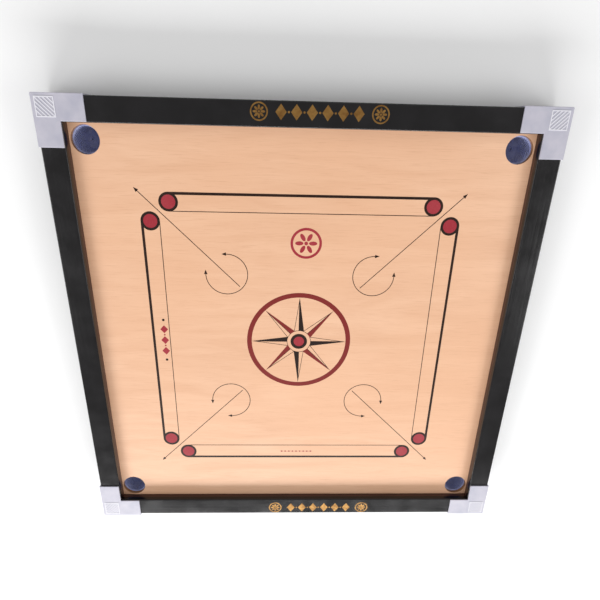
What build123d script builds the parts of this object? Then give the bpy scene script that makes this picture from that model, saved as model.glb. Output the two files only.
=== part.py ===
"""Carrom board, 32 inches square: a mitred hardwood frame round a plywood playing surface.

The Z axis passes through the middle of the board and Z = 0 is the underside of the frame.
Front is -Y, back is +Y, left is -X and right is +X. All dimensions are in millimetres.
"""

from build123d import *
import os
from math import cos, radians, sin, sqrt

# Driving dimensions of the frame and the sheet
play_side = 736.6  # playing area between the rails, 29 in
rail_width = 38.1  # 1.5 in
rail_height = 50.8  # 2 in
cushion_height = 16.0  # rail above the playing surface
ply_thickness = 6.0
ply_tongue = 10.0  # how far the sheet runs in under each rail
ply_clearance = 0.3  # between the edge of the sheet and the rebate
rail_arris = 2.0  # rounding along the rail's two top edges

# Screws and pins: radius of the head, radius of the shank and whole length
corner_screw_size = (3.8, 2.0, 50.0)
batten_screw_size = (3.4, 1.75, 22.0)
bead_pin_size = (1.8, 0.9, 26.0)
corner_screw_inset = 14.0  # from the end of a front or back rail
corner_screw_heights = (11.0, 38.0)  # one below the guard's skirt and one behind it
batten_screw_steps = (110.0, 220.0, 330.0)  # from the middle of the board along each arm
hole_ease = 0.05  # all round a shank
hole_end = 0.5  # past its point

# Pockets and what hangs in them
pocket_radius = 22.25
pocket_inset = 24.5  # from each wall to the centre of the pocket
net_wall = 2.2
net_depth = 25.0  # below the sheet
net_foot_radius = 21.6
net_hem_radius = 30.0
net_hem = 0.8
net_mouth_ease = 0.9  # the bag's outside stands this much outside the pocket's wall
net_bends = (6.0, 4.0)  # rounding at the foot, outside and inside
hoop_inner_radius = 25.0
hoop_thickness = 2.4
hoop_chamfer = 0.5
staple_crown = 9.0
staple_wire = 0.6
staple_leg = 6.7

# Battens and beads under the sheet
batten_width = 40.0
batten_height = 18.0
batten_housing = 6.0  # how far each end is let into a rail
batten_chamfer = 1.5
lap_clearance = 0.2
bead_size = 10.0
bead_chamfer = 3.0
bead_reach = 305.0  # from the middle of a side to the end of its bead
bead_gap = 2.0  # between a bead and the batten beside it

# Corner guards
guard_leg = 77.0
guard_wall = 1.6
guard_clearance = 0.3
guard_skirt = 34.0  # how far the outer walls come down
guard_lip = 1.0  # rail left bare inside the guard
guard_corner_radius = 2.4
guard_edge_radius = 0.7
guard_hatch = 26.0  # side of the raised hatching
guard_relief = 0.5
hatch_rib = 1.5
hatch_steps = [3.1 * count for count in range(-3, 4)]

# Printing on the sheet, which sits a little off centre, and foil on the rails
ink = 0.12
print_centre = (-3.5, -2.0)
base_far = 252.6  # from the centre to a base circle, along one axis and the other
base_near = 220.4
base_circle_radius = 16.0
base_core_radius = 11.7
base_line_width = 4.5
thin_line_width = 1.2
fine_line_width = 0.8
great_circle_radius = 96.0
great_circle_stroke = 8.6
centre_ring_radius = 15.4
centre_core_radius = 9.8
star_reach = 87.0  # every ray stops just short of the great circle
star_valley = 23.5
star_clear_radius = 21.5
arrow_tail = 106.5  # along each axis
arrow_tip = 275.0
arrow_head = 8.0
head_half_width = 3.0
arc_centre = 129.0
arc_radius = 36.5
side_band_x = -246.6
side_band_size = (66.0, 3, 14.0)  # length, number of lozenges and height
side_band_dot = 2.4
band_dot_reach = 40.6
front_band_size = (67.0, 9, 3.4)
emblem_place = (8.5, 186.5)
emblem_radius = 27.0
ink_gap = 0.05
foil_medal_radius = 13.5
foil_medal_reach = 92.5
foil_row_size = (142.0, 6, 23.0)
foil_outset = 3.0
back_foil_x = 19.5
front_foil_x = 47.0

# Worked out from the above
half_play = play_side / 2
half_outer = half_play + rail_width
recess_side = play_side + 2 * ply_tongue
ply_top = rail_height - cushion_height
ply_bottom = ply_top - ply_thickness
pocket_offset = half_play - pocket_inset
hoop_bottom = ply_bottom - net_hem - hoop_thickness
batten_bottom = ply_bottom - batten_height
bead_bottom = ply_bottom - bead_size

# A sketch drawn for the front side, or for the front left corner, serves all four by turning
side_turns = {"front": 0, "right": 90, "back": 180, "left": 270}
corner_turns = {"front_left": 0, "front_right": 90, "back_right": 180, "back_left": 270}


def plan_plane(turn, height):
    """Level plane at a height, turned about the middle of the board."""
    across = (cos(radians(turn)), sin(radians(turn)), 0)
    return Plane(origin=(0, 0, height), x_dir=across, z_dir=(0, 0, 1))


def corner_point(turn, reach):
    """The front left corner of a square of this half side, once turned about the middle."""
    place = plan_plane(turn, 0).from_local_coords(Vector(-reach, -reach, 0))
    return place.X, place.Y


def save(piece, name):
    """Label a finished piece and write it to its own file."""
    piece.part.label = name
    export_step(piece.part, f"parts/{name}.step")


def make_screw(head_radius, shank_radius, length):
    """Countersunk wood screw, its head flush with Z = 0 and its point down."""
    taper = head_radius - shank_radius
    point = 2.5 * shank_radius
    with BuildPart() as screw:
        with BuildSketch(Plane.XZ):
            with BuildLine():
                Polyline(
                    (0, 0),
                    (head_radius, 0),
                    (shank_radius, -taper),
                    (shank_radius, point - length),
                    (0, -length),
                    close=True,
                )
            make_face()
        revolve(axis=Axis.Z)
    return screw.part


def cut_slot(width, length, depth):
    """Cross recess in the head of a screw that faces up at Z = 0."""
    with BuildPart() as cross:
        with BuildSketch(Plane.XY.offset(-depth)):
            Rectangle(width, length)
            Rectangle(length, width)
        extrude(amount=2 * depth)
    return cross.part


def screw_group(places, head_radius, shank_radius, length):
    """Screws at the given planes, and the same screws a little fatter, for their holes."""
    driven = make_screw(head_radius, shank_radius, length)
    hole = make_screw(head_radius, shank_radius + hole_ease, length + hole_end)
    recess = cut_slot(0.25 * head_radius, 1.3 * head_radius, 0.35 * head_radius)
    with BuildPart() as screws:
        with Locations(*places):
            add(driven)
        with Locations(*places):
            add(recess, mode=Mode.SUBTRACT)
    with BuildPart() as holes:
        with Locations(*places):
            add(hole)
    return screws, holes.part


# Corner screws, two through each end of the front and back rails into the side rails
corner_screw_places = [
    Plane(origin=(x, y, z), z_dir=(0, y, 0))
    for x in (corner_screw_inset - half_outer, half_outer - corner_screw_inset)
    for y in (-half_outer, half_outer)
    for z in corner_screw_heights
]
corner_screws, corner_screw_holes = screw_group(corner_screw_places, *corner_screw_size)

# Batten screws, three up through each arm of the cross into the sheet
batten_screw_places = [
    Plane(origin=(*spot, batten_bottom), z_dir=(0, 0, -1))
    for step in batten_screw_steps
    for spot in ((step, 0), (-step, 0), (0, step), (0, -step))
]
batten_screws, batten_screw_holes = screw_group(batten_screw_places, *batten_screw_size)

# Beads run from the batten's side to just short of the pockets, one on each half of a side
bead_start = batten_width / 2 + bead_gap
bead_middle = (bead_start + bead_reach) / 2
bead_length = bead_reach - bead_start
bead_line = half_play + bead_size / 2
pin_step = bead_length / 4
bead_names = {
    ("front", -1): "bead_front_left",
    ("front", 1): "bead_front_right",
    ("right", -1): "bead_right_front",
    ("right", 1): "bead_right_back",
    ("back", -1): "bead_back_right",
    ("back", 1): "bead_back_left",
    ("left", -1): "bead_left_back",
    ("left", 1): "bead_left_front",
}
bead_pin_places = [
    plan_plane(turn, bead_bottom).location * Pos(half * bead_middle + step, -bead_line, 0) * Rot(X=180)
    for turn in side_turns.values()
    for half in (-1, 1)
    for step in (-pin_step, pin_step)
]
bead_pins, bead_pin_holes = screw_group(bead_pin_places, *bead_pin_size)


def make_rail(turn):
    """One mitred rail with the rebate for the sheet and a housing for the batten's end."""
    with BuildPart() as rail:
        with BuildSketch(plan_plane(turn, 0)):
            with BuildLine():
                Polyline(
                    (-half_outer, -half_outer),
                    (half_outer, -half_outer),
                    (half_play, -half_play),
                    (-half_play, -half_play),
                    close=True,
                )
            make_face()
        extrude(amount=rail_height)
        top_edges = rail.edges().group_by(Axis.Z)[-1]
        fillet(top_edges.sort_by(SortBy.LENGTH)[-2:], radius=rail_arris)
        with BuildSketch(plan_plane(turn, 0)):
            Rectangle(recess_side, recess_side)
        extrude(amount=ply_top, mode=Mode.SUBTRACT)
        with BuildSketch(plan_plane(turn, 0)):
            with Locations((0, -recess_side / 2)):
                Rectangle(batten_width + 2 * lap_clearance, 2 * batten_housing)
        extrude(amount=ply_bottom, mode=Mode.SUBTRACT)
        add(corner_screw_holes, mode=Mode.SUBTRACT)
        add(bead_pin_holes, mode=Mode.SUBTRACT)
    return rail


def make_bead(turn, half):
    """Square bead under the edge of the sheet, its lower inside edge taken off."""
    with BuildPart() as bead:
        with BuildSketch(plan_plane(turn, bead_bottom)):
            with Locations((half * bead_middle, -bead_line)):
                Rectangle(bead_length, bead_size)
        extrude(amount=bead_size)
        inward = Axis((0, 0, 0), plan_plane(turn, 0).y_dir)
        lower_edges = bead.edges().group_by(Axis.Z)[0]
        chamfer(lower_edges.group_by(inward)[-1], length=bead_chamfer)
        add(bead_pin_holes, mode=Mode.SUBTRACT)
    return bead


def make_net(turn):
    """Net bag hung from the rim of a pocket, as one soft cup with a hem under the sheet."""
    x, y = corner_point(turn, pocket_offset)
    foot = ply_bottom - net_depth
    mouth = pocket_radius + net_mouth_ease
    with BuildPart() as net:
        with BuildSketch(Plane(origin=(x, y, 0), x_dir=(1, 0, 0), z_dir=(0, -1, 0))) as section:
            with BuildLine():
                Polyline(
                    (0, foot),
                    (net_foot_radius, foot),
                    (mouth, ply_bottom - net_hem),
                    (net_hem_radius, ply_bottom - net_hem),
                    (net_hem_radius, ply_bottom),
                    (mouth - net_wall, ply_bottom),
                    (net_foot_radius - net_wall, foot + net_wall),
                    (0, foot + net_wall),
                    close=True,
                )
            make_face()
            outside = section.vertices().group_by(Axis.Y)[0].sort_by(Axis.X)[-1]
            inside = section.vertices().group_by(Axis.Y)[1].sort_by(Axis.X)[-1]
            fillet(outside, radius=net_bends[0])
            fillet(inside, radius=net_bends[1])
        revolve(axis=Axis((x, y, 0), (0, 0, 1)))
    return net


def make_hoop(turn):
    """Flat hoop that holds the hem of a net up against the sheet."""
    with BuildPart() as hoop:
        with BuildSketch(plan_plane(turn, hoop_bottom)):
            with Locations((-pocket_offset, -pocket_offset)):
                Circle(net_hem_radius)
                Circle(hoop_inner_radius, mode=Mode.SUBTRACT)
        extrude(amount=hoop_thickness)
        chamfer(hoop.faces().sort_by(Axis.Z)[0].edges(), length=hoop_chamfer)
    return hoop


def make_staple():
    """Wire staple with its crown under Z = 0 and its legs up."""
    from_below = (Align.CENTER, Align.MIN)
    with BuildPart() as staple:
        with BuildSketch(Plane.YZ):
            with Locations((0, -staple_wire)):
                Rectangle(staple_crown, staple_leg + staple_wire, align=from_below)
            Rectangle(staple_crown - 2 * staple_wire, staple_leg, align=from_below, mode=Mode.SUBTRACT)
        extrude(amount=staple_wire / 2, both=True)
    return staple.part


def make_guard(turn):
    """Moulded cap over one corner: a flat L on top, two outer walls and raised hatching."""
    reach = half_outer + guard_clearance + guard_wall
    under = rail_height + guard_clearance
    width = reach - half_play - guard_lip
    with BuildPart() as guard:
        with BuildSketch(plan_plane(turn, under)):
            with Locations((-reach, -reach)):
                Rectangle(guard_leg, width, align=(Align.MIN, Align.MIN))
                Rectangle(width, guard_leg, align=(Align.MIN, Align.MIN))
        extrude(amount=guard_wall)
        with BuildSketch(plan_plane(turn, under - guard_skirt)):
            with Locations((-reach, -reach)):
                Rectangle(guard_leg, guard_wall, align=(Align.MIN, Align.MIN))
                Rectangle(guard_wall, guard_leg, align=(Align.MIN, Align.MIN))
        extrude(amount=guard_skirt)
        corner_edge = guard.edges().filter_by(Axis.Z).sort_by_distance((*corner_point(turn, reach), under))[0]
        fillet(corner_edge, radius=guard_corner_radius)
        fillet(guard.faces().sort_by(Axis.Z)[-1].edges(), radius=guard_edge_radius)
        with BuildSketch(plan_plane(turn, under + guard_wall)):
            with Locations((width / 2 - reach, width / 2 - reach)):
                with Locations(*[Pos(step, -step) for step in hatch_steps]):
                    Rectangle(2 * guard_hatch, hatch_rib, rotation=45)
                Rectangle(guard_hatch, guard_hatch, mode=Mode.INTERSECT)
        with BuildSketch(plan_plane(turn, under + guard_wall)):
            with Locations((width / 2 - reach, width / 2 - reach)):
                Rectangle(guard_hatch + 2 * hatch_rib, guard_hatch + 2 * hatch_rib)
                Rectangle(guard_hatch, guard_hatch, mode=Mode.SUBTRACT)
        extrude(amount=guard_relief)
    return guard


def arrow(length, head):
    """Thin arrow along +X from the origin to its tip."""
    with BuildSketch() as shape:
        Rectangle(length - head / 2, thin_line_width, align=(Align.MIN, Align.CENTER))
        with Locations((length, 0)):
            Polygon((0, 0), (-head, head_half_width), (-head, -head_half_width), align=None)
    return shape.sketch


def turning_mark():
    """Three quarters of a circle about the origin, open towards +X, with an arrow head at each end."""
    end = arc_radius * cos(radians(45))
    with BuildSketch() as shape:
        Circle(arc_radius + thin_line_width / 2)
        Circle(arc_radius - thin_line_width / 2, mode=Mode.SUBTRACT)
        Polygon((0, 0), (2 * end, -2 * end), (2 * end, 2 * end), align=None, mode=Mode.SUBTRACT)
        with Locations(Location((end, end, 0), -45), Location((end, -end, 0), 45)):
            Polygon((arrow_head, 0), (0, head_half_width), (0, -head_half_width), align=None)
    return shape.sketch


def ray_half(side):
    """Half of a star ray along +X, from the clear middle to its tip; side is 1 or -1."""
    valley = (star_valley * cos(radians(22.5)), side * star_valley * sin(radians(22.5)))
    with BuildSketch() as shape:
        Polygon((0, 0), (star_reach, 0), valley, align=None)
        Circle(star_clear_radius, mode=Mode.SUBTRACT)
    return shape.sketch


def ray_outline():
    """Fine outline round the open half of a star ray along +X."""
    with BuildSketch() as shape:
        add(ray_half(1))
        offset(amount=-fine_line_width, kind=Kind.INTERSECTION, mode=Mode.SUBTRACT)
    return shape.sketch


def lozenge_row(length, count, height):
    """A plain row of lozenges along X about the origin, with a dot between each pair."""
    pitch = length / count
    half_width, half_height = 0.36 * pitch, height / 2
    with BuildSketch() as row:
        with GridLocations(pitch, 1, count, 1):
            Polygon((-half_width, 0), (0, half_height), (half_width, 0), (0, -half_height), align=None)
        with GridLocations(pitch, 1, count - 1, 1):
            Circle(0.07 * pitch)
    return row.sketch


def rosette(radius, petals):
    """A plain circle of petals in a ring, for a medal or an emblem."""
    with BuildSketch() as flower:
        Circle(radius)
        Circle(0.84 * radius, mode=Mode.SUBTRACT)
        with PolarLocations(0.44 * radius, petals):
            Ellipse(0.26 * radius, 0.13 * radius)
        Circle(0.12 * radius)
    return flower.sketch


# Marks that the printing repeats, drawn before the sketches that they are added to
diagonal_arrow = arrow((arrow_tip - arrow_tail) * sqrt(2), arrow_head)
turn_mark = turning_mark()
filled_half = ray_half(-1)
open_half = ray_outline()
side_band = lozenge_row(*side_band_size)
front_band = lozenge_row(*front_band_size)
emblem = rosette(emblem_radius, 6)
print_plane = Plane(origin=(*print_centre, ply_top))
both_circles = ((-base_near, -base_far), (base_near, -base_far))

with BuildPart() as print_black:
    with BuildSketch(print_plane):
        with PolarLocations(0, 4):
            with Locations((0, base_line_width / 2 - base_far - base_circle_radius)):
                Rectangle(2 * base_near, base_line_width)
            with Locations((0, base_circle_radius - base_far - thin_line_width / 2)):
                Rectangle(2 * base_near, thin_line_width)
            with Locations(*both_circles):
                Circle(base_circle_radius)
        with PolarLocations(0, 4):
            with Locations(*both_circles):
                Circle(base_core_radius, mode=Mode.SUBTRACT)
        with PolarLocations(arrow_tail * sqrt(2), 4, start_angle=45):
            add(diagonal_arrow)
        with PolarLocations(arc_centre * sqrt(2), 4, start_angle=45):
            add(turn_mark)
        with PolarLocations(0, 4):
            add(filled_half)
        with PolarLocations(0, 8):
            add(open_half)
        Circle(centre_ring_radius)
        Circle(centre_core_radius, mode=Mode.SUBTRACT)
        with Locations((side_band_x, -band_dot_reach), (side_band_x, band_dot_reach)):
            Circle(side_band_dot)
    extrude(amount=ink)

with BuildPart() as print_red:
    with BuildSketch(print_plane):
        with PolarLocations(0, 4):
            with Locations(*both_circles):
                Circle(base_core_radius - ink_gap)
        Circle(great_circle_radius)
        Circle(great_circle_radius - great_circle_stroke, mode=Mode.SUBTRACT)
        with PolarLocations(0, 4, start_angle=45):
            add(filled_half)
        Circle(centre_core_radius - ink_gap)
        with Locations(emblem_place):
            add(emblem)
        with Locations(Location((side_band_x, 0, 0), 90)):
            add(side_band)
        with Locations((0, -base_far)):
            add(front_band)
    extrude(amount=ink)


def make_foil(middle_x, turn):
    """Foil on the top of the front or the back rail: a row of lozenges between two medals."""
    with BuildPart() as foil:
        with BuildSketch(plan_plane(turn, rail_height)):
            with Locations((middle_x, -half_play - rail_width / 2 - foil_outset)):
                add(foil_row)
                with Locations((-foil_medal_reach, 0), (foil_medal_reach, 0)):
                    add(foil_medal)
        extrude(amount=ink)
    return foil


# The sheet, with its four pockets and the holes of what is driven into it
with BuildPart() as playing_surface:
    with BuildSketch(Plane.XY.offset(ply_bottom)):
        Rectangle(recess_side - 2 * ply_clearance, recess_side - 2 * ply_clearance)
        with GridLocations(2 * pocket_offset, 2 * pocket_offset, 2, 2):
            Circle(pocket_radius, mode=Mode.SUBTRACT)
    extrude(amount=ply_thickness)
    add(batten_screw_holes, mode=Mode.SUBTRACT)
    add(bead_pin_holes, mode=Mode.SUBTRACT)


def make_batten(turn, lap_floor):
    """Batten across the board under the sheet, halved at the middle from lap_floor up by half."""
    with BuildPart() as batten:
        with BuildSketch(plan_plane(turn, batten_bottom)):
            Rectangle(recess_side + 2 * batten_housing, batten_width)
        extrude(amount=batten_height)
        along = batten.edges().group_by(Axis.Z)[0].sort_by(SortBy.LENGTH)[-2:]
        chamfer(along, length=batten_chamfer)
        with BuildSketch(Plane.XY.offset(lap_floor)):
            Rectangle(batten_width + 2 * lap_clearance, batten_width + 2 * lap_clearance)
        extrude(amount=batten_height / 2, mode=Mode.SUBTRACT)
        add(batten_screw_holes, mode=Mode.SUBTRACT)
    return batten


# Staples, four to a pocket, up through the hoop and the hem into the sheet
staple = make_staple()
with BuildPart() as pocket_staples:
    for turn in corner_turns.values():
        with Locations((*corner_point(turn, pocket_offset), hoop_bottom)):
            with PolarLocations((hoop_inner_radius + net_hem_radius) / 2, 4, start_angle=45):
                add(staple)

# Every piece, by name
foil_row = lozenge_row(*foil_row_size)
foil_medal = rosette(foil_medal_radius, 8)
pieces = {
    "playing_surface": playing_surface,
    "print_black": print_black,
    "print_red": print_red,
    "corner_screws": corner_screws,
    "batten_screws": batten_screws,
    "bead_pins": bead_pins,
    "pocket_staples": pocket_staples,
    "batten_left_right": make_batten(0, batten_bottom),
    "batten_front_back": make_batten(90, batten_bottom + batten_height / 2),
    "back_rail_foil": make_foil(-back_foil_x, 180),
    "front_rail_foil": make_foil(front_foil_x, 0),
}
for side, turn in side_turns.items():
    pieces[f"{side}_rail"] = make_rail(turn)
for (side, half), name in bead_names.items():
    pieces[name] = make_bead(side_turns[side], half)
for corner, turn in corner_turns.items():
    pieces[f"pocket_net_{corner}"] = make_net(turn)
    pieces[f"pocket_hoop_{corner}"] = make_hoop(turn)
    pieces[f"corner_guard_{corner}"] = make_guard(turn)

os.makedirs("parts", exist_ok=True)
for name, piece in pieces.items():
    save(piece, name)
print(len(pieces), "pieces")
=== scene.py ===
import math

import bmesh
import bpy
from bpy.props import FloatProperty, FloatVectorProperty, IntProperty, PointerProperty, StringProperty
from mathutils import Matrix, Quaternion, Vector


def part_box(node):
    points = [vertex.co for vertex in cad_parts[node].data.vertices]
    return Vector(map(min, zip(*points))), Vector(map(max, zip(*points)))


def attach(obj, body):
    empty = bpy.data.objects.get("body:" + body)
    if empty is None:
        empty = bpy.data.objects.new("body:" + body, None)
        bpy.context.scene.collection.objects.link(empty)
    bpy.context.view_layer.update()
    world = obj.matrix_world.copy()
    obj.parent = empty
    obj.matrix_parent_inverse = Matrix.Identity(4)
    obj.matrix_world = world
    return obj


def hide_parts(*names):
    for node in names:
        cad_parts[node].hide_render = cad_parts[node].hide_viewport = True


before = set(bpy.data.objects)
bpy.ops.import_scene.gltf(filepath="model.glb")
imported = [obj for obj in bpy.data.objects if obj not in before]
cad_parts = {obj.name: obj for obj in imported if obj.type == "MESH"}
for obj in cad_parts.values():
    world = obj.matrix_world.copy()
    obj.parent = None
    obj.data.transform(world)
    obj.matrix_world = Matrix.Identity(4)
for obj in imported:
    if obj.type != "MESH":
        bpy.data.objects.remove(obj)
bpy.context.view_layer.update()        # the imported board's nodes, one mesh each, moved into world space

bl_info = {
    "name": "Carrom Board",
    "version": (1, 0, 0),
    "blender": (4, 5, 0),
    "location": "3D View > Sidebar > Carrom",
    "description": "Finishes, pocket nets and studio for a carrom board",
    "category": "Object",
}

MM = 0.001               # one millimetre in metres

# Sizes that every piece is placed from, read off the frame
RAIL_LOW, RAIL_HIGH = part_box("front_rail")
SHEET_LOW, SHEET_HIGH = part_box("playing_surface")
HALF_OUTER = -RAIL_LOW.y
HALF_PLAY = -RAIL_HIGH.y
GUARD_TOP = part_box("corner_guard_front_left")[1].z
SHEET_TOP = SHEET_HIGH.z
SHEET_UNDER = SHEET_LOW.z
PRINT_LOW, PRINT_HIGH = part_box("print_black")
PRINT_MIDDLE = (PRINT_LOW + PRINT_HIGH) / 2
STAR_CORE = 12.5 * MM    # radius that the disc in the middle of the star stays within
STAR_RIM = 98.0 * MM     # radius just past the great circle

CORNERS = ("front_left", "front_right", "back_right", "back_left")
RAILS_ALONG_X = ("front_rail", "back_rail")
RAILS_ALONG_Y = ("left_rail", "right_rail")
TIMBERS_ALONG_X = (
    "batten_left_right", "bead_front_left", "bead_front_right", "bead_back_left", "bead_back_right",
)
TIMBERS_ALONG_Y = (
    "batten_front_back", "bead_left_front", "bead_left_back", "bead_right_front", "bead_right_back",
)
FASTENERS = ("corner_screws", "batten_screws", "bead_pins", "pocket_staples")

# Nets
POINTS_PER_ROW = 4       # along a twine, from one row of knots to the next
RIM_STEPS = 96           # round the rim of a net
RIM_SIDES = 10           # round the rim's cord
RIM_SAG = 0.2 * MM       # of the rim's cord below the twines' loops
TIED_STEPS = 24          # round the drawn-up end
TIED_SIDES = 8           # round its cord
CUP_GAP = 0.05 * MM      # that a net keeps inside the cup that it replaces
FOOT_GAP = 0.3 * MM      # the same at the foot

# Studio: each panel's name, its power's setting, its place, what it faces and its size, in metres
FLOOR_SIZE = 30.0        # wide enough to lie behind the board in a low view
SENSOR_WIDTH = 36.0      # millimetres
PANELS = (
    ("back panel", "key", (0.3, 2.0, 1.9), (0.0, 0.0, 0.0), (2.4, 1.4)),
    ("left panel", "side", (-2.3, -0.4, 1.7), (0.0, 0.0, 0.0), (1.6, 1.2)),
    ("right panel", "side", (2.3, -0.4, 1.7), (0.0, 0.0, 0.0), (1.6, 1.2)),
    ("front panel", "front", (-0.2, -3.1, 1.4), (0.0, -0.2, 0.0), (4.6, 1.0)),
)


# Kinds of node that the materials use most; MIX takes its share at input 0 and its colours at 6 and 7
PLACE = "ShaderNodeTexCoord"
SPLIT = "ShaderNodeSeparateXYZ"
MATHS = "ShaderNodeMath"
RAMP = "ShaderNodeMapRange"
MIX = "ShaderNodeMix"
NOISE = "ShaderNodeTexNoise"
STRETCH = "ShaderNodeMapping"
BUMP = "ShaderNodeBump"


# Colours, nodes and materials


def linear(text):
    """An sRGB hex colour as the linear RGBA that shader sockets take."""
    def channel(start):
        value = int(text[start:start + 2], 16) / 255
        return value / 12.92 if value <= 0.04045 else ((value + 0.055) / 1.055) ** 2.4
    return (channel(1), channel(3), channel(5), 1.0)


def node(tree, kind, inputs=(), **settings):
    """Add one node, with its own properties as settings.

    Inputs come in socket order, or by name or number. Each is a value, a socket, or a node, which
    stands for its first live output.
    """
    made = tree.nodes.new(kind)
    for key, value in settings.items():
        setattr(made, key, value)
    for key, value in inputs.items() if isinstance(inputs, dict) else enumerate(inputs):
        if isinstance(value, bpy.types.Node):
            value = next(output for output in value.outputs if output.enabled)
        if isinstance(value, bpy.types.NodeSocket):
            tree.links.new(value, made.inputs[key])
        else:
            made.inputs[key].default_value = value
    return made


def per_metre(size_mm):
    """Texture scale whose features come out about this many millimetres across."""
    return 1000.0 / size_mm


def drawn_out(along, times):
    """Scale that stretches a pattern along one axis, 0 for X or 1 for Y, for grain and brush strokes."""
    scale = [1.0, 1.0, 1.0]
    scale[along] = 1.0 / times
    return scale


def new_material(name):
    """An empty node material."""
    material = bpy.data.materials.new(name)
    material.use_nodes = True
    material.node_tree.nodes.clear()
    return material, material.node_tree


def surfaced(tree, inputs, height, depth_mm, strength):
    """End a material in its shader, with relief of a real depth."""
    relief = node(tree, BUMP, {"Height": height, "Distance": depth_mm * MM, "Strength": strength})
    shader = node(tree, "ShaderNodeBsdfPrincipled", {**inputs, "Normal": relief})
    node(tree, "ShaderNodeOutputMaterial", {"Surface": shader})


def sideways(tree):
    """1 on walls and edges, 0 on faces that look up or down."""
    normal = node(tree, "ShaderNodeNewGeometry").outputs["Normal"]
    upward = node(tree, SPLIT, [normal]).outputs[2]
    steepness = node(tree, MATHS, [upward], operation="ABSOLUTE")
    return node(tree, RAMP, [steepness, 0.5, 0.8, 1.0, 0.0])


def set_material(names, material):
    """Give CAD nodes one material."""
    for name in names:
        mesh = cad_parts[name].data
        mesh.materials.clear()
        mesh.materials.append(material)


def enamelled_rail(along):
    """Black polyurethane enamel on hardwood: deep gloss, the grain just telegraphing through.

    The foot of the wall inside the frame is stained brown, where the enamel was cut in above it, its warm
    tone also a painted reflection of the playing surface in the gloss; the rebate and the underside are bare.
    """
    look = bpy.context.scene.carrom_rails
    material, tree = new_material(f"black polyurethane enamel on hardwood, grain along {'XY'[along]}")
    where = node(tree, PLACE).outputs["Object"]
    x, y, z = node(tree, SPLIT, [where]).outputs
    far_x = node(tree, MATHS, [x], operation="ABSOLUTE")
    far_y = node(tree, MATHS, [y], operation="ABSOLUTE")
    out = node(tree, MATHS, [far_x, far_y], operation="MAXIMUM")
    fibres = node(tree, STRETCH, {"Vector": where, "Scale": drawn_out(along, 24.0)})
    grain = node(tree, NOISE, {"Vector": fibres, "Scale": per_metre(1.6), "Detail": 5.0, "Roughness": 0.6})
    rings = node(tree, STRETCH, {"Vector": where, "Scale": drawn_out(along, 9.0)})
    figure = node(tree, NOISE, {"Vector": rings, "Scale": per_metre(14.0), "Detail": 3.0, "Distortion": 0.6})
    # Handling greys the enamel in soft patches
    rubbing = node(tree, NOISE, {"Vector": where, "Scale": per_metre(55.0), "Detail": 5.0, "Roughness": 0.6})
    haze = node(tree, RAMP, [rubbing, 0.35, 0.75])
    black = node(tree, MIX, {0: haze, 6: linear(look.enamel), 7: linear(look.enamel_haze)}, data_type="RGBA")
    # Stain on the wall, dark in the pores; its brown is also a painted reflection of the playing surface
    stain = {0: figure, 6: linear(look.wall_stain_reflection_dark), 7: linear(look.wall_stain_reflection_light)}
    wall = node(tree, MIX, stain, data_type="RGBA")
    pores = node(tree, RAMP, [grain, 0.35, 0.65, 0.0, 0.5])
    wall = node(tree, MIX, {0: pores, 6: wall, 7: linear("#1f1210")}, data_type="RGBA")
    # Bare wood, with open grain
    bands = node(tree, RAMP, [figure, 0.3, 0.7])
    timber = node(tree, MIX, {0: bands, 6: linear("#8a6a48"), 7: linear("#b08c60")}, data_type="RGBA")
    pores = node(tree, RAMP, [grain, 0.52, 0.7, 0.0, 0.55])
    timber = node(tree, MIX, {0: pores, 6: timber, 7: linear("#5f4329")}, data_type="RGBA")
    # The enamel's lower edge wanders a little, as a brush leaves it
    edge = node(tree, STRETCH, {"Vector": where, "Scale": drawn_out(along, 4.0)})
    wander = node(tree, NOISE, {"Vector": edge, "Scale": per_metre(8.0), "Detail": 4.0})
    wander = node(tree, MATHS, [wander, 2.0 * MM], operation="MULTIPLY")
    height = node(tree, MATHS, [z, wander], operation="ADD")
    cut_in = node(tree, MATHS, [height, SHEET_TOP + look.brown_height], operation="SUBTRACT")
    foot = node(tree, RAMP, [cut_in, 0.0, 1.6 * MM, 1.0, 0.0])
    inner_face = node(tree, RAMP, [out, HALF_PLAY, HALF_PLAY + 0.5 * MM, 1.0, 0.0])
    on_wall = node(tree, MATHS, [foot, inner_face], operation="MULTIPLY")
    paint = node(tree, MIX, {0: on_wall, 6: black, 7: wall}, data_type="RGBA")
    below = node(tree, RAMP, [z, SHEET_UNDER - 1.0 * MM, SHEET_UNDER, 1.0, 0.0])
    inside = node(tree, RAMP, [out, HALF_OUTER - 1.5 * MM, HALF_OUTER - 0.5 * MM, 1.0, 0.0])
    bare = node(tree, MATHS, [below, inside], operation="MULTIPLY")
    colour = node(tree, MIX, {0: bare, 6: paint, 7: timber}, data_type="RGBA")
    gloss = node(tree, RAMP, [haze, 0.0, 1.0, look.roughness, look.roughness + 0.12])
    matt_wall = node(tree, MATHS, [on_wall, 0.12], operation="MULTIPLY")
    gloss = node(tree, MATHS, [gloss, matt_wall], operation="ADD")
    matt_timber = node(tree, MATHS, [bare, 0.7], operation="MULTIPLY")
    gloss = node(tree, MATHS, [gloss, matt_timber], operation="MAXIMUM")
    # Lengthwise laps of the brush, drawn 4 mm apart so that they show, over a fine orange peel
    strokes = node(tree, STRETCH, {"Vector": where, "Scale": drawn_out(along, 70.0)})
    laps = node(tree, NOISE, {"Vector": strokes, "Scale": per_metre(4.0), "Detail": 3.0, "Roughness": 0.55})
    peel = node(tree, NOISE, {"Vector": where, "Scale": per_metre(5.0), "Detail": 2.0})
    fine = node(tree, MATHS, [grain, peel], operation="ADD")
    relief = node(tree, MATHS, [fine, 0.3, laps], operation="MULTIPLY_ADD")
    surface = {
        "Base Color": colour, "Roughness": gloss, "IOR": 1.45,
        "Coat Weight": 0.15, "Coat Roughness": 0.08,
    }
    surfaced(tree, surface, relief, 0.22, 0.6)
    return material


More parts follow.
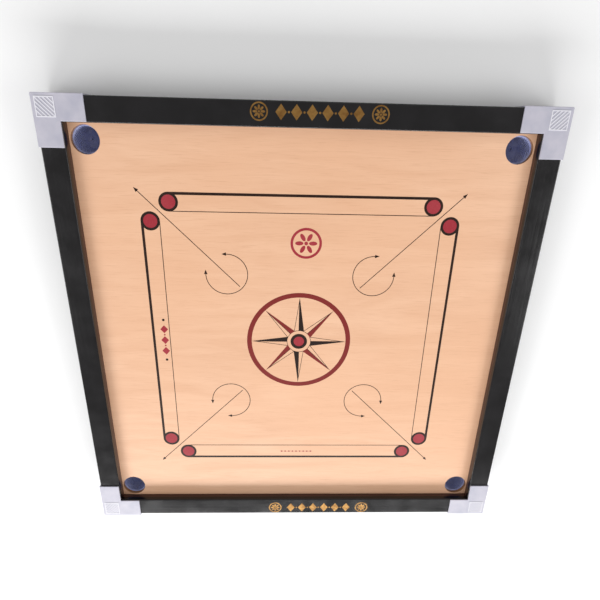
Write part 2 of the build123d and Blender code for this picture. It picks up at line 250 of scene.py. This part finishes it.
def lacquered_sheet():
    """Clear nitrocellulose lacquer on peeled veneer plywood: warm, even, with a soft figure.

    The glue lines and the crossed plies show on the walls of the pockets.
    """
    look = bpy.context.scene.carrom_sheet
    material, tree = new_material("lacquered veneer plywood")
    where = node(tree, PLACE).outputs["Object"]
    height = node(tree, SPLIT, [where]).outputs[2]
    peeled = node(tree, STRETCH, {"Vector": where, "Scale": drawn_out(0, 7.0)})
    figure = node(tree, NOISE, {"Vector": peeled, "Scale": per_metre(34.0), "Detail": 4.0, "Distortion": 1.2})
    fibres = node(tree, STRETCH, {"Vector": where, "Scale": drawn_out(0, 30.0)})
    fibre = node(tree, NOISE, {"Vector": fibres, "Scale": per_metre(1.3), "Detail": 3.0, "Roughness": 0.65})
    cloud = node(tree, NOISE, {"Vector": where, "Scale": per_metre(240.0), "Detail": 2.0})
    bands = node(tree, RAMP, [figure, 0.3, 0.7])
    veneer = {0: bands, 6: linear(look.veneer_dark), 7: linear(look.veneer_light)}
    face = node(tree, MIX, veneer, data_type="RGBA")
    warmth = node(tree, RAMP, [cloud, 0.35, 0.65, 0.0, 0.55])
    face = node(tree, MIX, {0: warmth, 6: face, 7: linear(look.veneer_warm)}, data_type="RGBA")
    pores = node(tree, RAMP, [fibre, 0.54, 0.72, 0.0, 0.35])
    face = node(tree, MIX, {0: pores, 6: face, 7: linear(look.pore)}, data_type="RGBA")
    # Five plies, each its own tone from the side, with a dark glue line between
    through = node(tree, RAMP, [height, SHEET_UNDER, SHEET_TOP])
    plies = node(tree, MATHS, [through, 2.5], operation="MULTIPLY")
    ply = node(tree, MATHS, [plies], operation="FRACT")
    off_middle = node(tree, MATHS, [ply, 0.5], operation="SUBTRACT")
    off_middle = node(tree, MATHS, [off_middle], operation="ABSOLUTE")
    crossed = node(tree, RAMP, [off_middle, 0.22, 0.28])
    edge = node(tree, MIX, {0: crossed, 6: linear("#6d4526"), 7: linear("#b98757")}, data_type="RGBA")
    face = node(tree, MIX, {0: sideways(tree), 6: face, 7: edge}, data_type="RGBA")
    # The back is bare, with open grain
    under = node(tree, RAMP, [height, SHEET_UNDER + 0.1 * MM, SHEET_UNDER + 0.3 * MM, 1.0, 0.0])
    back = node(tree, MIX, {0: bands, 6: linear("#a87c54"), 7: linear("#c69a6c")}, data_type="RGBA")
    pores = node(tree, RAMP, [fibre, 0.5, 0.7, 0.0, 0.6])
    back = node(tree, MIX, {0: pores, 6: back, 7: linear("#7d5836")}, data_type="RGBA")
    colour = node(tree, MIX, {0: under, 6: face, 7: back}, data_type="RGBA")
    rough = node(tree, RAMP, [fibre, 0.4, 0.7, look.roughness, look.roughness + 0.08])
    matt_back = node(tree, MATHS, [under, 0.75], operation="MULTIPLY")
    rough = node(tree, MATHS, [rough, matt_back], operation="MAXIMUM")
    relief = node(tree, MATHS, [fibre, figure], operation="ADD")
    surface = {
        "Base Color": colour, "Roughness": rough, "IOR": 1.48,
        "Coat Weight": 0.2, "Coat Roughness": 0.25,
    }
    surfaced(tree, surface, relief, 0.05, 0.5)
    return material


def screen_ink(name, colour, thin, star):
    """Screen-printed ink: even, more matt than the lacquer, with the mesh's faint mottle and thin spots.

    The star and the great circle had a second pass, so they have their own colour.
    """
    material, tree = new_material(name)
    where = node(tree, PLACE).outputs["Object"]
    mottle = node(tree, NOISE, {"Vector": where, "Scale": per_metre(2.2), "Detail": 4.0, "Roughness": 0.7})
    wash = node(tree, NOISE, {"Vector": where, "Scale": per_metre(40.0), "Detail": 2.0})
    specks = node(tree, RAMP, [mottle, 0.5, 0.8, 0.0, 0.6])
    ink = node(tree, MIX, {0: specks, 6: linear(colour), 7: linear(thin)}, data_type="RGBA")
    patches = node(tree, RAMP, [wash, 0.4, 0.7, 0.0, 0.3])
    ink = node(tree, MIX, {0: patches, 6: ink, 7: linear(thin)}, data_type="RGBA")
    out = node(tree, "ShaderNodeVectorMath", [where, PRINT_MIDDLE], operation="DISTANCE")
    past_core = node(tree, RAMP, [out, STAR_CORE, STAR_CORE + 2.0 * MM, 0.0, 0.85])
    within_rim = node(tree, RAMP, [out, STAR_RIM, STAR_RIM + 2.0 * MM, 1.0, 0.0])
    second_pass = node(tree, MATHS, [past_core, within_rim], operation="MULTIPLY")
    ink = node(tree, MIX, {0: second_pass, 6: ink, 7: linear(star)}, data_type="RGBA")
    surface = {
        "Base Color": ink, "Roughness": 0.45, "Specular IOR Level": 0.25,
        "Coat Weight": 0.08, "Coat Roughness": 0.25,
    }
    surfaced(tree, surface, mottle, 0.02, 0.4)
    return material


def gold_foil():
    """Hot-stamped gold foil: a thin bright metal that has rubbed through in specks."""
    look = bpy.context.scene.carrom_rails
    material, tree = new_material("hot-stamped gold foil")
    where = node(tree, PLACE).outputs["Object"]
    speck = node(tree, NOISE, {"Vector": where, "Scale": per_metre(1.4), "Detail": 5.0, "Roughness": 0.7})
    wash = node(tree, NOISE, {"Vector": where, "Scale": per_metre(9.0), "Detail": 3.0})
    tarnish = node(tree, RAMP, [wash, 0.3, 0.7])
    tone = node(tree, MIX, {0: tarnish, 6: linear(look.foil), 7: linear("#7f5a2d")}, data_type="RGBA")
    rubbed = node(tree, RAMP, [speck, 0.6, 0.68])
    colour = node(tree, MIX, {0: rubbed, 6: tone, 7: linear(look.enamel)}, data_type="RGBA")
    metal = node(tree, RAMP, [rubbed, 0.0, 1.0, 0.85, 0.0])
    rough = node(tree, RAMP, [wash, 0.3, 0.7, 0.42, 0.6])
    surfaced(tree, {"Base Color": colour, "Metallic": metal, "Roughness": rough}, speck, 0.03, 0.4)
    return material


def bare_timber(along):
    """Sawn and planed light hardwood, unfinished: open grain and a dry, matt face."""
    look = bpy.context.scene.carrom_underside
    material, tree = new_material(f"planed bare hardwood, grain along {'XY'[along]}")
    where = node(tree, PLACE).outputs["Object"]
    rings = node(tree, STRETCH, {"Vector": where, "Scale": drawn_out(along, 14.0)})
    figure = node(tree, NOISE, {"Vector": rings, "Scale": per_metre(9.0), "Detail": 4.0, "Distortion": 0.8})
    fibres = node(tree, STRETCH, {"Vector": where, "Scale": drawn_out(along, 30.0)})
    fibre = node(tree, NOISE, {"Vector": fibres, "Scale": per_metre(1.0), "Detail": 4.0, "Roughness": 0.7})
    bands = node(tree, RAMP, [figure, 0.3, 0.7])
    timber = {0: bands, 6: linear(look.timber_dark), 7: linear(look.timber_light)}
    colour = node(tree, MIX, timber, data_type="RGBA")
    pores = node(tree, RAMP, [fibre, 0.5, 0.75, 0.0, 0.5])
    colour = node(tree, MIX, {0: pores, 6: colour, 7: linear("#6b4a2c")}, data_type="RGBA")
    rough = node(tree, RAMP, [fibre, 0.3, 0.7, 0.6, 0.82])
    relief = node(tree, MATHS, [fibre, figure], operation="ADD")
    surfaced(tree, {"Base Color": colour, "Roughness": rough}, relief, 0.2, 0.7)
    return material


def plated_steel():
    """Zinc-plated steel wire and screws: soft grey shine with faint cloudy tarnish."""
    material, tree = new_material("zinc-plated steel")
    where = node(tree, PLACE).outputs["Object"]
    cloud = node(tree, NOISE, {"Vector": where, "Scale": per_metre(3.0), "Detail": 4.0})
    tarnish = node(tree, RAMP, [cloud, 0.35, 0.65])
    tone = node(tree, MIX, {0: tarnish, 6: linear("#b9b7b2"), 7: linear("#86837d")}, data_type="RGBA")
    rough = node(tree, RAMP, [cloud, 0.3, 0.7, 0.28, 0.5])
    surfaced(tree, {"Base Color": tone, "Metallic": 1.0, "Roughness": rough}, cloud, 0.02, 0.5)
    return material


def moulded_guard():
    """Injection-moulded polypropylene: milky white, finely textured, lighter on the tops of what stands
    proud.
    """
    look = bpy.context.scene.carrom_guards
    material, tree = new_material("injection-moulded white polypropylene")
    where = node(tree, PLACE).outputs["Object"]
    height = node(tree, SPLIT, [where]).outputs[2]
    flow = node(tree, NOISE, {"Vector": where, "Scale": per_metre(26.0), "Detail": 3.0})
    grain = node(tree, NOISE, {"Vector": where, "Scale": per_metre(0.9), "Detail": 2.0})
    streaks = node(tree, RAMP, [flow, 0.3, 0.7])
    colour = node(tree, MIX, {0: streaks, 6: linear(look.milky), 7: linear(look.cool)}, data_type="RGBA")
    # The tops of the raised hatching get a lighter tone
    proud = node(tree, RAMP, [height, GUARD_TOP - 0.8 * look.relief, GUARD_TOP - 0.1 * look.relief, 0.0, 0.8])
    colour = node(tree, MIX, {0: proud, 6: colour, 7: linear(look.proud_tone)}, data_type="RGBA")
    rough = node(tree, RAMP, [flow, 0.3, 0.7, 0.34, 0.46])
    surface = {
        "Base Color": colour, "Roughness": rough, "IOR": 1.49, "Subsurface Weight": 0.15,
        "Subsurface Radius": (2.0 * MM, 2.0 * MM, 2.2 * MM), "Subsurface Scale": 1.0,
    }
    surfaced(tree, surface, grain, 0.05, 0.6)
    return material


def nylon_twine():
    """Twisted multifilament nylon twine: soft sheen, with a painted highlight on some strands and painted
    shade for the folds.
    """
    look = bpy.context.scene.carrom_nets
    material, tree = new_material("twisted blue nylon twine")
    where = node(tree, PLACE).outputs["Object"]
    strand = node(tree, NOISE, {"Vector": where, "Scale": per_metre(1.1), "Detail": 3.0, "Roughness": 0.6})
    wear = node(tree, NOISE, {"Vector": where, "Scale": per_metre(12.0), "Detail": 3.0})
    # Painted highlight and shade: strands picked at random get the lit tone, the rest the shaded tone
    painted_lit_share = node(tree, RAMP, [strand, 0.35, 0.65])
    twine = {0: painted_lit_share, 6: linear(look.twine_painted_shade), 7: linear(look.twine_painted_lit)}
    colour = node(tree, MIX, twine, data_type="RGBA")
    fade = node(tree, RAMP, [wear, 0.4, 0.7, 0.0, 0.5])
    colour = node(tree, MIX, {0: fade, 6: colour, 7: linear(look.twine_faded)}, data_type="RGBA")
    surface = {"Base Color": colour, "Roughness": 0.55, "Sheen Weight": 0.35, "Sheen Roughness": 0.4}
    surfaced(tree, surface, strand, 0.35, 0.8)
    return material


def hoop_plastic():
    """Moulded black PVC hoop: satin, with faint flow marks."""
    material, tree = new_material("moulded black PVC")
    where = node(tree, PLACE).outputs["Object"]
    flow = node(tree, NOISE, {"Vector": where, "Scale": per_metre(6.0), "Detail": 4.0})
    marks = node(tree, RAMP, [flow, 0.3, 0.7])
    tone = node(tree, MIX, {0: marks, 6: linear("#17171c"), 7: linear("#26262e")}, data_type="RGBA")
    rough = node(tree, RAMP, [flow, 0.3, 0.7, 0.38, 0.52])
    surfaced(tree, {"Base Color": tone, "Roughness": rough}, flow, 0.05, 0.5)
    return material


# Meshes


def new_object(name, mesh, material):
    """A finished piece at the origin with one material."""
    made = bpy.data.objects.new(name, mesh)
    bpy.context.scene.collection.objects.link(made)
    mesh.materials.clear()
    mesh.materials.append(material)
    return made


def ring(bm, centre, outline, steps):
    """Turn a closed outline of (radius, height) points about a vertical line, into a mesh being built."""
    loops = []
    for step in range(steps):
        angle = math.tau * step / steps
        loops.append([
            bm.verts.new((centre.x + r * math.cos(angle), centre.y + r * math.sin(angle), z))
            for r, z in outline
        ])
    for step in range(steps):
        here, after = loops[step], loops[(step + 1) % steps]
        for i in range(len(outline)):
            j = (i + 1) % len(outline)
            bm.faces.new((here[i], after[i], after[j], here[j]))


def round_outline(radius, height, section, steps):
    """Points of a circular section, for a cord bent into a ring."""
    return [
        (radius + section * math.cos(math.tau * i / steps), height - section * math.sin(math.tau * i / steps))
        for i in range(steps)
    ]


def bag_profile(mouth, depth, steps):
    """(radius, drop) points evenly spaced down the side and across the bottom of a net bag."""
    fine = 400               # steps that the curve is measured in
    foot_share = 0.12        # radius where it is tied, as a share of the mouth's
    fullness = 0.42          # below 1 makes the side stand nearly straight before it turns in
    droop = 0.85             # below 1 makes it fall away a little faster from the mouth
    raw = []
    for i in range(fine + 1):
        a = 0.5 * math.pi * i / fine
        reach = foot_share + (1.0 - foot_share) * max(math.cos(a), 0.0) ** fullness
        raw.append((mouth * reach, depth * math.sin(a) ** droop))
    lengths = [0.0]
    for (r0, d0), (r1, d1) in zip(raw, raw[1:]):
        lengths.append(lengths[-1] + math.hypot(r1 - r0, d1 - d0))
    points = []
    at = 0
    for k in range(steps + 1):
        target = lengths[-1] * k / steps
        while at < fine - 1 and lengths[at + 1] < target:
            at += 1
        span = max(lengths[at + 1] - lengths[at], 1e-9)
        share = min(max((target - lengths[at]) / span, 0.0), 1.0)
        (r0, d0), (r1, d1) = raw[at], raw[at + 1]
        points.append((r0 + share * (r1 - r0), d0 + share * (d1 - d0)))
    return points


def twine_pair(mouth, depth, twines, rows):
    """Two crossing twines from the mouth of a bag to its foot, one winding each way."""
    steps = rows * POINTS_PER_ROW
    profile = bag_profile(mouth, depth, steps)
    turn = rows * math.pi / twines
    mesh = bpy.data.meshes.new("twine pair")
    points, edges = [], []
    for way in (1, -1):
        first = len(points)
        for k, (radius, drop) in enumerate(profile):
            angle = way * turn * k / steps
            points.append((radius * math.cos(angle), radius * math.sin(angle), -drop))
        edges += [(i, i + 1) for i in range(first, len(points) - 1)]
    mesh.from_pydata(points, edges, [])
    return mesh


def net_tree():
    """Geometry nodes that turn a pair of twines into a whole knotted bag."""
    tree = bpy.data.node_groups.new("knotted net bag", "GeometryNodeTree")
    sockets = tree.interface
    sockets.new_socket("Geometry", in_out="INPUT", socket_type="NodeSocketGeometry")
    for name, kind, value in (
        ("Twine radius", "NodeSocketFloat", 1.0 * MM),
        ("Knot radius", "NodeSocketFloat", 1.4 * MM),
        ("Twines", "NodeSocketInt", 36),
        ("Rows", "NodeSocketInt", 12),
        ("Slack", "NodeSocketFloat", 1.0 * MM),
        ("Seed", "NodeSocketFloat", 0.0),
    ):
        sockets.new_socket(name, in_out="INPUT", socket_type=kind).default_value = value
    sockets.new_socket("Material", in_out="INPUT", socket_type="NodeSocketMaterial")
    sockets.new_socket("Geometry", in_out="OUTPUT", socket_type="NodeSocketGeometry")
    given = node(tree, "NodeGroupInput").outputs
    line = node(tree, "GeometryNodeMeshToCurve", {"Mesh": given["Geometry"]})
    round_twine = {"Resolution": 6, "Radius": given["Twine radius"]}
    section = node(tree, "GeometryNodeCurvePrimitiveCircle", round_twine)
    tube = node(tree, "GeometryNodeCurveToMesh", {"Curve": line, "Profile Curve": section, "Fill Caps": True})
    # A knot wherever the first twine of the pair crosses its neighbours, POINTS_PER_ROW points apart
    number = node(tree, "GeometryNodeInputIndex")
    offcut = node(tree, "FunctionNodeIntegerMath", [number, POINTS_PER_ROW], operation="MODULO")
    crossing = node(tree, "FunctionNodeCompare", {2: offcut, 3: 0}, data_type="INT", operation="EQUAL")
    last = node(tree, "FunctionNodeIntegerMath", [given["Rows"], POINTS_PER_ROW], operation="MULTIPLY")
    on_first = node(
        tree, "FunctionNodeCompare", {2: number, 3: last}, data_type="INT", operation="LESS_EQUAL",
    )
    knotted = node(tree, "FunctionNodeBooleanMath", [crossing, on_first], operation="AND")
    points = node(tree, "GeometryNodeMeshToPoints", {"Mesh": given["Geometry"], "Selection": knotted})
    ball = node(tree, "GeometryNodeMeshIcoSphere", {"Radius": given["Knot radius"], "Subdivisions": 1})
    knots = node(tree, "GeometryNodeInstanceOnPoints", {"Points": points, "Instance": ball})
    pair = node(tree, "GeometryNodeJoinGeometry")
    tree.links.new(tube.outputs[0], pair.inputs[0])
    tree.links.new(knots.outputs[0], pair.inputs[0])
    # The pair is repeated round the mouth
    spots = node(tree, "GeometryNodeMeshCircle", {"Vertices": given["Twines"], "Radius": 0.0})
    part_turn = node(tree, MATHS, [math.tau, given["Twines"]], operation="DIVIDE")
    angle = node(tree, MATHS, [number, part_turn], operation="MULTIPLY")
    turned = node(tree, "ShaderNodeCombineXYZ", {"Z": angle})
    bag = node(tree, "GeometryNodeInstanceOnPoints", {"Points": spots, "Instance": pair, "Rotation": turned})
    real = node(tree, "GeometryNodeRealizeInstances", [bag])
    # Slack cloth sags and folds: a slow wander that differs from bag to bag
    where = node(tree, "GeometryNodeInputPosition")
    folds = {"Vector": where, "W": given["Seed"], "Scale": per_metre(11.0), "Detail": 1.0}
    wander = node(tree, NOISE, folds, noise_dimensions="4D").outputs["Color"]
    centred = node(tree, "ShaderNodeVectorMath", [wander, (0.5, 0.5, 0.5)], operation="SUBTRACT")
    step = node(tree, "ShaderNodeVectorMath", {0: centred, "Scale": given["Slack"]}, operation="SCALE")
    sagged = node(tree, "GeometryNodeSetPosition", {"Geometry": real, "Offset": step})
    smooth = node(tree, "GeometryNodeSetShadeSmooth", [sagged])
    dressed = node(tree, "GeometryNodeSetMaterial", {"Geometry": smooth, "Material": given["Material"]})
    node(tree, "NodeGroupOutput", [dressed])
    return tree


def made_real(carrier, tree, values):
    """Run a node tree on an object and give back the plain mesh it makes."""
    modifier = carrier.modifiers.new("nodes", "NODES")
    modifier.node_group = tree
    named = {item.name: item.identifier for item in tree.interface.items_tree if item.in_out == "INPUT"}
    for name, value in values.items():
        modifier[named[name]] = value
    bpy.context.view_layer.update()
    evaluated = carrier.evaluated_get(bpy.context.evaluated_depsgraph_get())
    mesh = bpy.data.meshes.new_from_object(evaluated)
    carrier.modifiers.remove(modifier)
    bpy.data.objects.remove(carrier)
    return mesh


# Sizes and colours that can be changed


class RailLook(bpy.types.PropertyGroup):
    """The enamelled frame and its foil."""

    enamel: StringProperty(name="Enamel", description="Black of the enamel, sRGB hex", default="#0e0c0d")
    enamel_haze: StringProperty(name="Haze", description="Enamel greyed by handling", default="#181618")
    # Browns of the inside wall: a stain, and also a painted reflection of the playing surface
    wall_stain_reflection_dark: StringProperty(name="Wall, dark", description="Darker stain on the wall", default="#341d19")
    wall_stain_reflection_light: StringProperty(name="Wall, light", description="Lighter stain on the wall", default="#5c382c")
    foil: StringProperty(name="Foil", description="Gold of the foil", default="#ad8449")
    roughness: FloatProperty(name="Roughness", description="Of the enamel", default=0.16, min=0.0, max=1.0)
    brown_height: FloatProperty(
        name="Brown foot", description="How far the brown stain shows up the inside wall",
        default=8.0 * MM, unit="LENGTH",
    )


class SheetLook(bpy.types.PropertyGroup):
    """The lacquered playing surface and its printing."""

    veneer_light: StringProperty(name="Veneer, light", description="Lighter veneer tone", default="#efc19f")
    veneer_dark: StringProperty(name="Veneer, dark", description="Darker veneer tone", default="#e3b28f")
    veneer_warm: StringProperty(name="Veneer, warm", description="Tone of broad clouds", default="#e9b691")
    pore: StringProperty(name="Pore", description="Colour in the pores", default="#c6906c")
    roughness: FloatProperty(name="Roughness", description="Of the lacquer", default=0.4, min=0.0, max=1.0)
    red: StringProperty(name="Red ink", description="Red of the printing", default="#9e2935")
    red_thin: StringProperty(name="Red ink, thin", description="Where the red is thin", default="#b45055")
    red_star: StringProperty(name="Red ink, star", description="Red of star and circle", default="#78241c")
    black: StringProperty(name="Black ink", description="Black of the printing", default="#1f0e06")
    black_thin: StringProperty(name="Black ink, thin", description="Where black is thin", default="#3d2010")
    black_star: StringProperty(name="Black ink, star", description="Black of the star", default="#1f0e06")


class NetLook(bpy.types.PropertyGroup):
    """The pocket nets."""

    # Painted light and shade of the twine: a lit tone, and a shaded tone for the folds
    twine_painted_lit: StringProperty(name="Twine, light", description="Lit strands", default="#a6aeda")
    twine_painted_shade: StringProperty(name="Twine, dark", description="Strands in the folds", default="#6b73a8")
    twine_faded: StringProperty(name="Twine, faded", description="Faded patches", default="#b6b8d2")
    twine: FloatProperty(
        name="Twine radius", description="Radius of one twine", default=0.95 * MM, unit="LENGTH",
    )
    knot: FloatProperty(
        name="Knot radius", description="Radius of one knot", default=1.35 * MM, unit="LENGTH",
    )
    slack: FloatProperty(name="Slack", description="How far the bag wanders", default=1.6 * MM, unit="LENGTH")
    tape: FloatProperty(name="Tape", description="Thickness of the tape hem", default=0.7 * MM, unit="LENGTH")
    hem: FloatProperty(
        name="Hem", description="Width of the hem from the rim cord out", default=8.6 * MM, unit="LENGTH",
    )
    tied: FloatProperty(
        name="Tied end", description="Radius of the ring at the foot", default=2.4 * MM, unit="LENGTH",
    )
    twines: IntProperty(name="Twines", description="Twines wound each way round a bag", default=34, min=8)
    rows: IntProperty(name="Rows", description="Rows of knots from mouth to foot", default=12, min=4)


class GuardLook(bpy.types.PropertyGroup):
    """The moulded corner guards."""

    milky: StringProperty(name="Milky white", description="Main tone", default="#c4c1cc")
    cool: StringProperty(name="Cool white", description="Cooler, thinner tone", default="#b2b1bf")
    # Lighter tone given to the tops of what stands proud
    proud_tone: StringProperty(name="Scuffed", description="Tone of what stands proud", default="#eeedf3")
    relief: FloatProperty(
        name="Relief", description="How far the hatching stands proud of the guard",
        default=0.5 * MM, unit="LENGTH",
    )


class UndersideLook(bpy.types.PropertyGroup):
    """Battens and beads under the sheet."""

    timber_light: StringProperty(name="Timber, light", description="Lighter wood tone", default="#cfa878")
    timber_dark: StringProperty(name="Timber, dark", description="Darker wood tone", default="#ab8152")


class StageLook(bpy.types.PropertyGroup):
    """Floor, lights and camera."""

    eye: FloatVectorProperty(
        name="Eye", description="Camera's place over the middle of the playing surface",
        default=(-0.0301, 0.3641, 0.7372), subtype="TRANSLATION", unit="LENGTH",
    )
    aim: FloatVectorProperty(
        name="Aim", description="Point on the playing surface in the middle of the view",
        default=(-0.0032, 0.0807, 0.0), subtype="TRANSLATION", unit="LENGTH",
    )
    lens: FloatProperty(name="Lens", description="Focal length in millimetres", default=26.38)
    roll: FloatProperty(
        name="Roll", description="Camera's turn about its view",
        default=math.radians(175.66), subtype="ANGLE",
    )
    sky: FloatProperty(name="Sky", description="Strength of the even surrounding light", default=0.37)
    key: FloatProperty(name="Key", description="Power of the panel behind the board in watts", default=6.0)
    side: FloatProperty(name="Side", description="Power of each side panel in watts", default=21.0)
    front: FloatProperty(name="Front", description="Power of the panel in front in watts", default=165.0)


# The pieces, one operator for each or for a group of like ones


class FinishRails(bpy.types.Operator):
    """Enamel the four rails and gild their ornament"""

    bl_idname = "carrom.finish_rails"
    bl_label = "Finish Rails"

    def execute(self, context):
        set_material(RAILS_ALONG_X, enamelled_rail(0))
        set_material(RAILS_ALONG_Y, enamelled_rail(1))
        set_material(("front_rail_foil", "back_rail_foil"), gold_foil())
        return {"FINISHED"}


class FinishSheet(bpy.types.Operator):
    """Lacquer the playing surface and ink its printing"""

    bl_idname = "carrom.finish_sheet"
    bl_label = "Finish Playing Surface"

    def execute(self, context):
        look = context.scene.carrom_sheet
        set_material(("playing_surface",), lacquered_sheet())
        black = screen_ink("black screen ink", look.black, look.black_thin, look.black_star)
        red = screen_ink("red screen ink", look.red, look.red_thin, look.red_star)
        set_material(("print_black",), black)
        set_material(("print_red",), red)
        return {"FINISHED"}


class MakeNets(bpy.types.Operator):
    """Knot the four pocket nets in place of their plain cups"""

    bl_idname = "carrom.make_nets"
    bl_label = "Make Pocket Nets"

    def execute(self, context):
        look = context.scene.carrom_nets
        material = nylon_twine()
        tree = net_tree()
        for seed, corner in enumerate(CORNERS):
            name = f"pocket_net_{corner}"
            low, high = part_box(name)
            middle = (low + high) / 2
            hem_radius = (high.x - low.x) / 2
            mouth = hem_radius - look.hem
            rim = high.z - look.knot
            hang = rim - look.knot - low.z
            carrier = bpy.data.objects.new("carrier", twine_pair(mouth, hang, look.twines, look.rows))
            context.scene.collection.objects.link(carrier)
            mesh = made_real(carrier, tree, {
                "Twine radius": look.twine, "Knot radius": look.knot, "Twines": look.twines,
                "Rows": look.rows, "Slack": look.slack, "Seed": float(seed), "Material": material,
            })
            bm = bmesh.new()
            bm.from_mesh(mesh)
            bmesh.ops.translate(bm, verts=bm.verts, vec=Vector((middle.x, middle.y, rim)))
            # Kept inside the cup that it replaces, and just under its own tape
            foot = low.z + FOOT_GAP
            top = high.z - CUP_GAP
            for vert in bm.verts:
                vert.co.z = min(max(vert.co.z, foot), top - CUP_GAP)
            # The rim cord that the twines are looped over, and the tape hem held by the hoop
            ring(bm, middle, round_outline(mouth, rim - RIM_SAG, look.knot, RIM_SIDES), RIM_STEPS)
            inner = mouth + look.knot / 2
            under = high.z - look.tape
            tape = [(inner, top), (hem_radius, top), (hem_radius, under), (inner, under)]
            ring(bm, middle, tape, RIM_STEPS)
            # The drawn-up end of the bag
            cord = 0.6 * look.tied
            ring(bm, middle, round_outline(look.tied, foot + cord, cord, TIED_SIDES), TIED_STEPS)
            bmesh.ops.recalc_face_normals(bm, faces=bm.faces)
            bm.to_mesh(mesh)
            bm.free()
            mesh.shade_smooth()
            net = new_object(f"knotted_net_{corner}", mesh, material)
            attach(net, "board")
            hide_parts(name)
        return {"FINISHED"}


class FinishGuards(bpy.types.Operator):
    """Give the corner guards and the net hoops their plastics"""

    bl_idname = "carrom.finish_guards"
    bl_label = "Finish Guards and Hoops"

    def execute(self, context):
        set_material([f"corner_guard_{corner}" for corner in CORNERS], moulded_guard())
        set_material([f"pocket_hoop_{corner}" for corner in CORNERS], hoop_plastic())
        return {"FINISHED"}


class FinishUnderside(bpy.types.Operator):
    """Leave the battens and beads bare, and plate the screws, pins and staples"""

    bl_idname = "carrom.finish_underside"
    bl_label = "Finish Underside"

    def execute(self, context):
        set_material(TIMBERS_ALONG_X, bare_timber(0))
        set_material(TIMBERS_ALONG_Y, bare_timber(1))
        set_material(FASTENERS, plated_steel())
        return {"FINISHED"}


def studio_floor():
    """Matt white card: even, with the faintest cloud."""
    material, tree = new_material("matt white studio floor")
    where = node(tree, PLACE).outputs["Object"]
    cloud = node(tree, NOISE, {"Vector": where, "Scale": per_metre(300.0), "Detail": 2.0})
    bands = node(tree, RAMP, [cloud, 0.3, 0.7])
    tone = node(tree, MIX, {0: bands, 6: linear("#fdfdfd"), 7: linear("#fafafa")}, data_type="RGBA")
    shader = node(tree, "ShaderNodeBsdfPrincipled", {"Base Color": tone, "Roughness": 0.9})
    node(tree, "ShaderNodeOutputMaterial", {"Surface": shader})
    return material


def soft_panel(name, watts, place, target, size):
    """A soft oblong panel of light that faces a point."""
    data = bpy.data.lights.new(name, "AREA")
    data.shape = "RECTANGLE"
    data.size, data.size_y = size
    data.energy = watts
    lamp = bpy.data.objects.new(name, data)
    lamp.location = place
    lamp.rotation_euler = (Vector(target) - Vector(place)).to_track_quat("-Z", "Y").to_euler()
    bpy.context.scene.collection.objects.link(lamp)


class SetStage(bpy.types.Operator):
    """Lay the floor, set the lights and place the camera"""

    bl_idname = "carrom.set_stage"
    bl_label = "Set Stage"

    def execute(self, context):
        look = context.scene.carrom_stage
        scene = context.scene
        bpy.ops.mesh.primitive_plane_add(size=FLOOR_SIZE)
        floor = context.active_object
        floor.name = "studio_floor"
        floor.data.materials.append(studio_floor())
        world = bpy.data.worlds.new("even white light")
        world.use_nodes = True
        sky = world.node_tree.nodes["Background"]
        sky.inputs["Color"].default_value = (1.0, 1.0, 1.0, 1.0)
        sky.inputs["Strength"].default_value = look.sky
        scene.world = world
        scene.view_settings.view_transform = "Standard"
        for name, power, place, target, size in PANELS:
            soft_panel(name, getattr(look, power), place, target, size)
        data = bpy.data.cameras.new("camera")
        data.lens = look.lens
        data.sensor_width = SENSOR_WIDTH
        camera = bpy.data.objects.new("camera", data)
        toward = Vector(look.aim) - Vector(look.eye)
        turn = toward.to_track_quat("-Z", "Y") @ Quaternion((0.0, 0.0, 1.0), look.roll)
        camera.location = Vector((0.0, 0.0, SHEET_TOP)) + Vector(look.eye)
        camera.rotation_euler = turn.to_euler()
        scene.collection.objects.link(camera)
        scene.camera = camera
        return {"FINISHED"}


class CarromPanel(bpy.types.Panel):
    """Buttons and settings for the board"""

    bl_idname = "VIEW3D_PT_carrom"
    bl_label = "Carrom Board"
    bl_space_type = "VIEW_3D"
    bl_region_type = "UI"
    bl_category = "Carrom"

    def draw(self, context):
        for group_name, operators in GROUPS:
            box = self.layout.box()
            for operator in operators:
                box.operator(f"carrom.{operator}")
            group = getattr(context.scene, group_name)
            for field in group.bl_rna.properties:
                if field.identifier not in ("rna_type", "name"):
                    box.prop(group, field.identifier)


GROUPS = (
    ("carrom_stage", ("set_stage",)),
    ("carrom_rails", ("finish_rails",)),
    ("carrom_sheet", ("finish_sheet",)),
    ("carrom_nets", ("make_nets",)),
    ("carrom_guards", ("finish_guards",)),
    ("carrom_underside", ("finish_underside",)),
)
LOOKS = {
    "carrom_stage": StageLook,
    "carrom_rails": RailLook,
    "carrom_sheet": SheetLook,
    "carrom_nets": NetLook,
    "carrom_guards": GuardLook,
    "carrom_underside": UndersideLook,
}
OPERATORS = (SetStage, FinishRails, FinishSheet, MakeNets, FinishGuards, FinishUnderside)


def register():
    for look in LOOKS.values():
        bpy.utils.register_class(look)
    for operator in OPERATORS:
        bpy.utils.register_class(operator)
    bpy.utils.register_class(CarromPanel)
    for name, look in LOOKS.items():
        setattr(bpy.types.Scene, name, PointerProperty(type=look))


def unregister():
    for name in LOOKS:
        delattr(bpy.types.Scene, name)
    bpy.utils.unregister_class(CarromPanel)
    for operator in reversed(OPERATORS):
        bpy.utils.unregister_class(operator)
    for look in reversed(LOOKS.values()):
        bpy.utils.unregister_class(look)


def main():
    register()
    for _, operators in GROUPS:
        for operator in operators:
            getattr(bpy.ops.carrom, operator)()


if __name__ == "__main__":
    main()
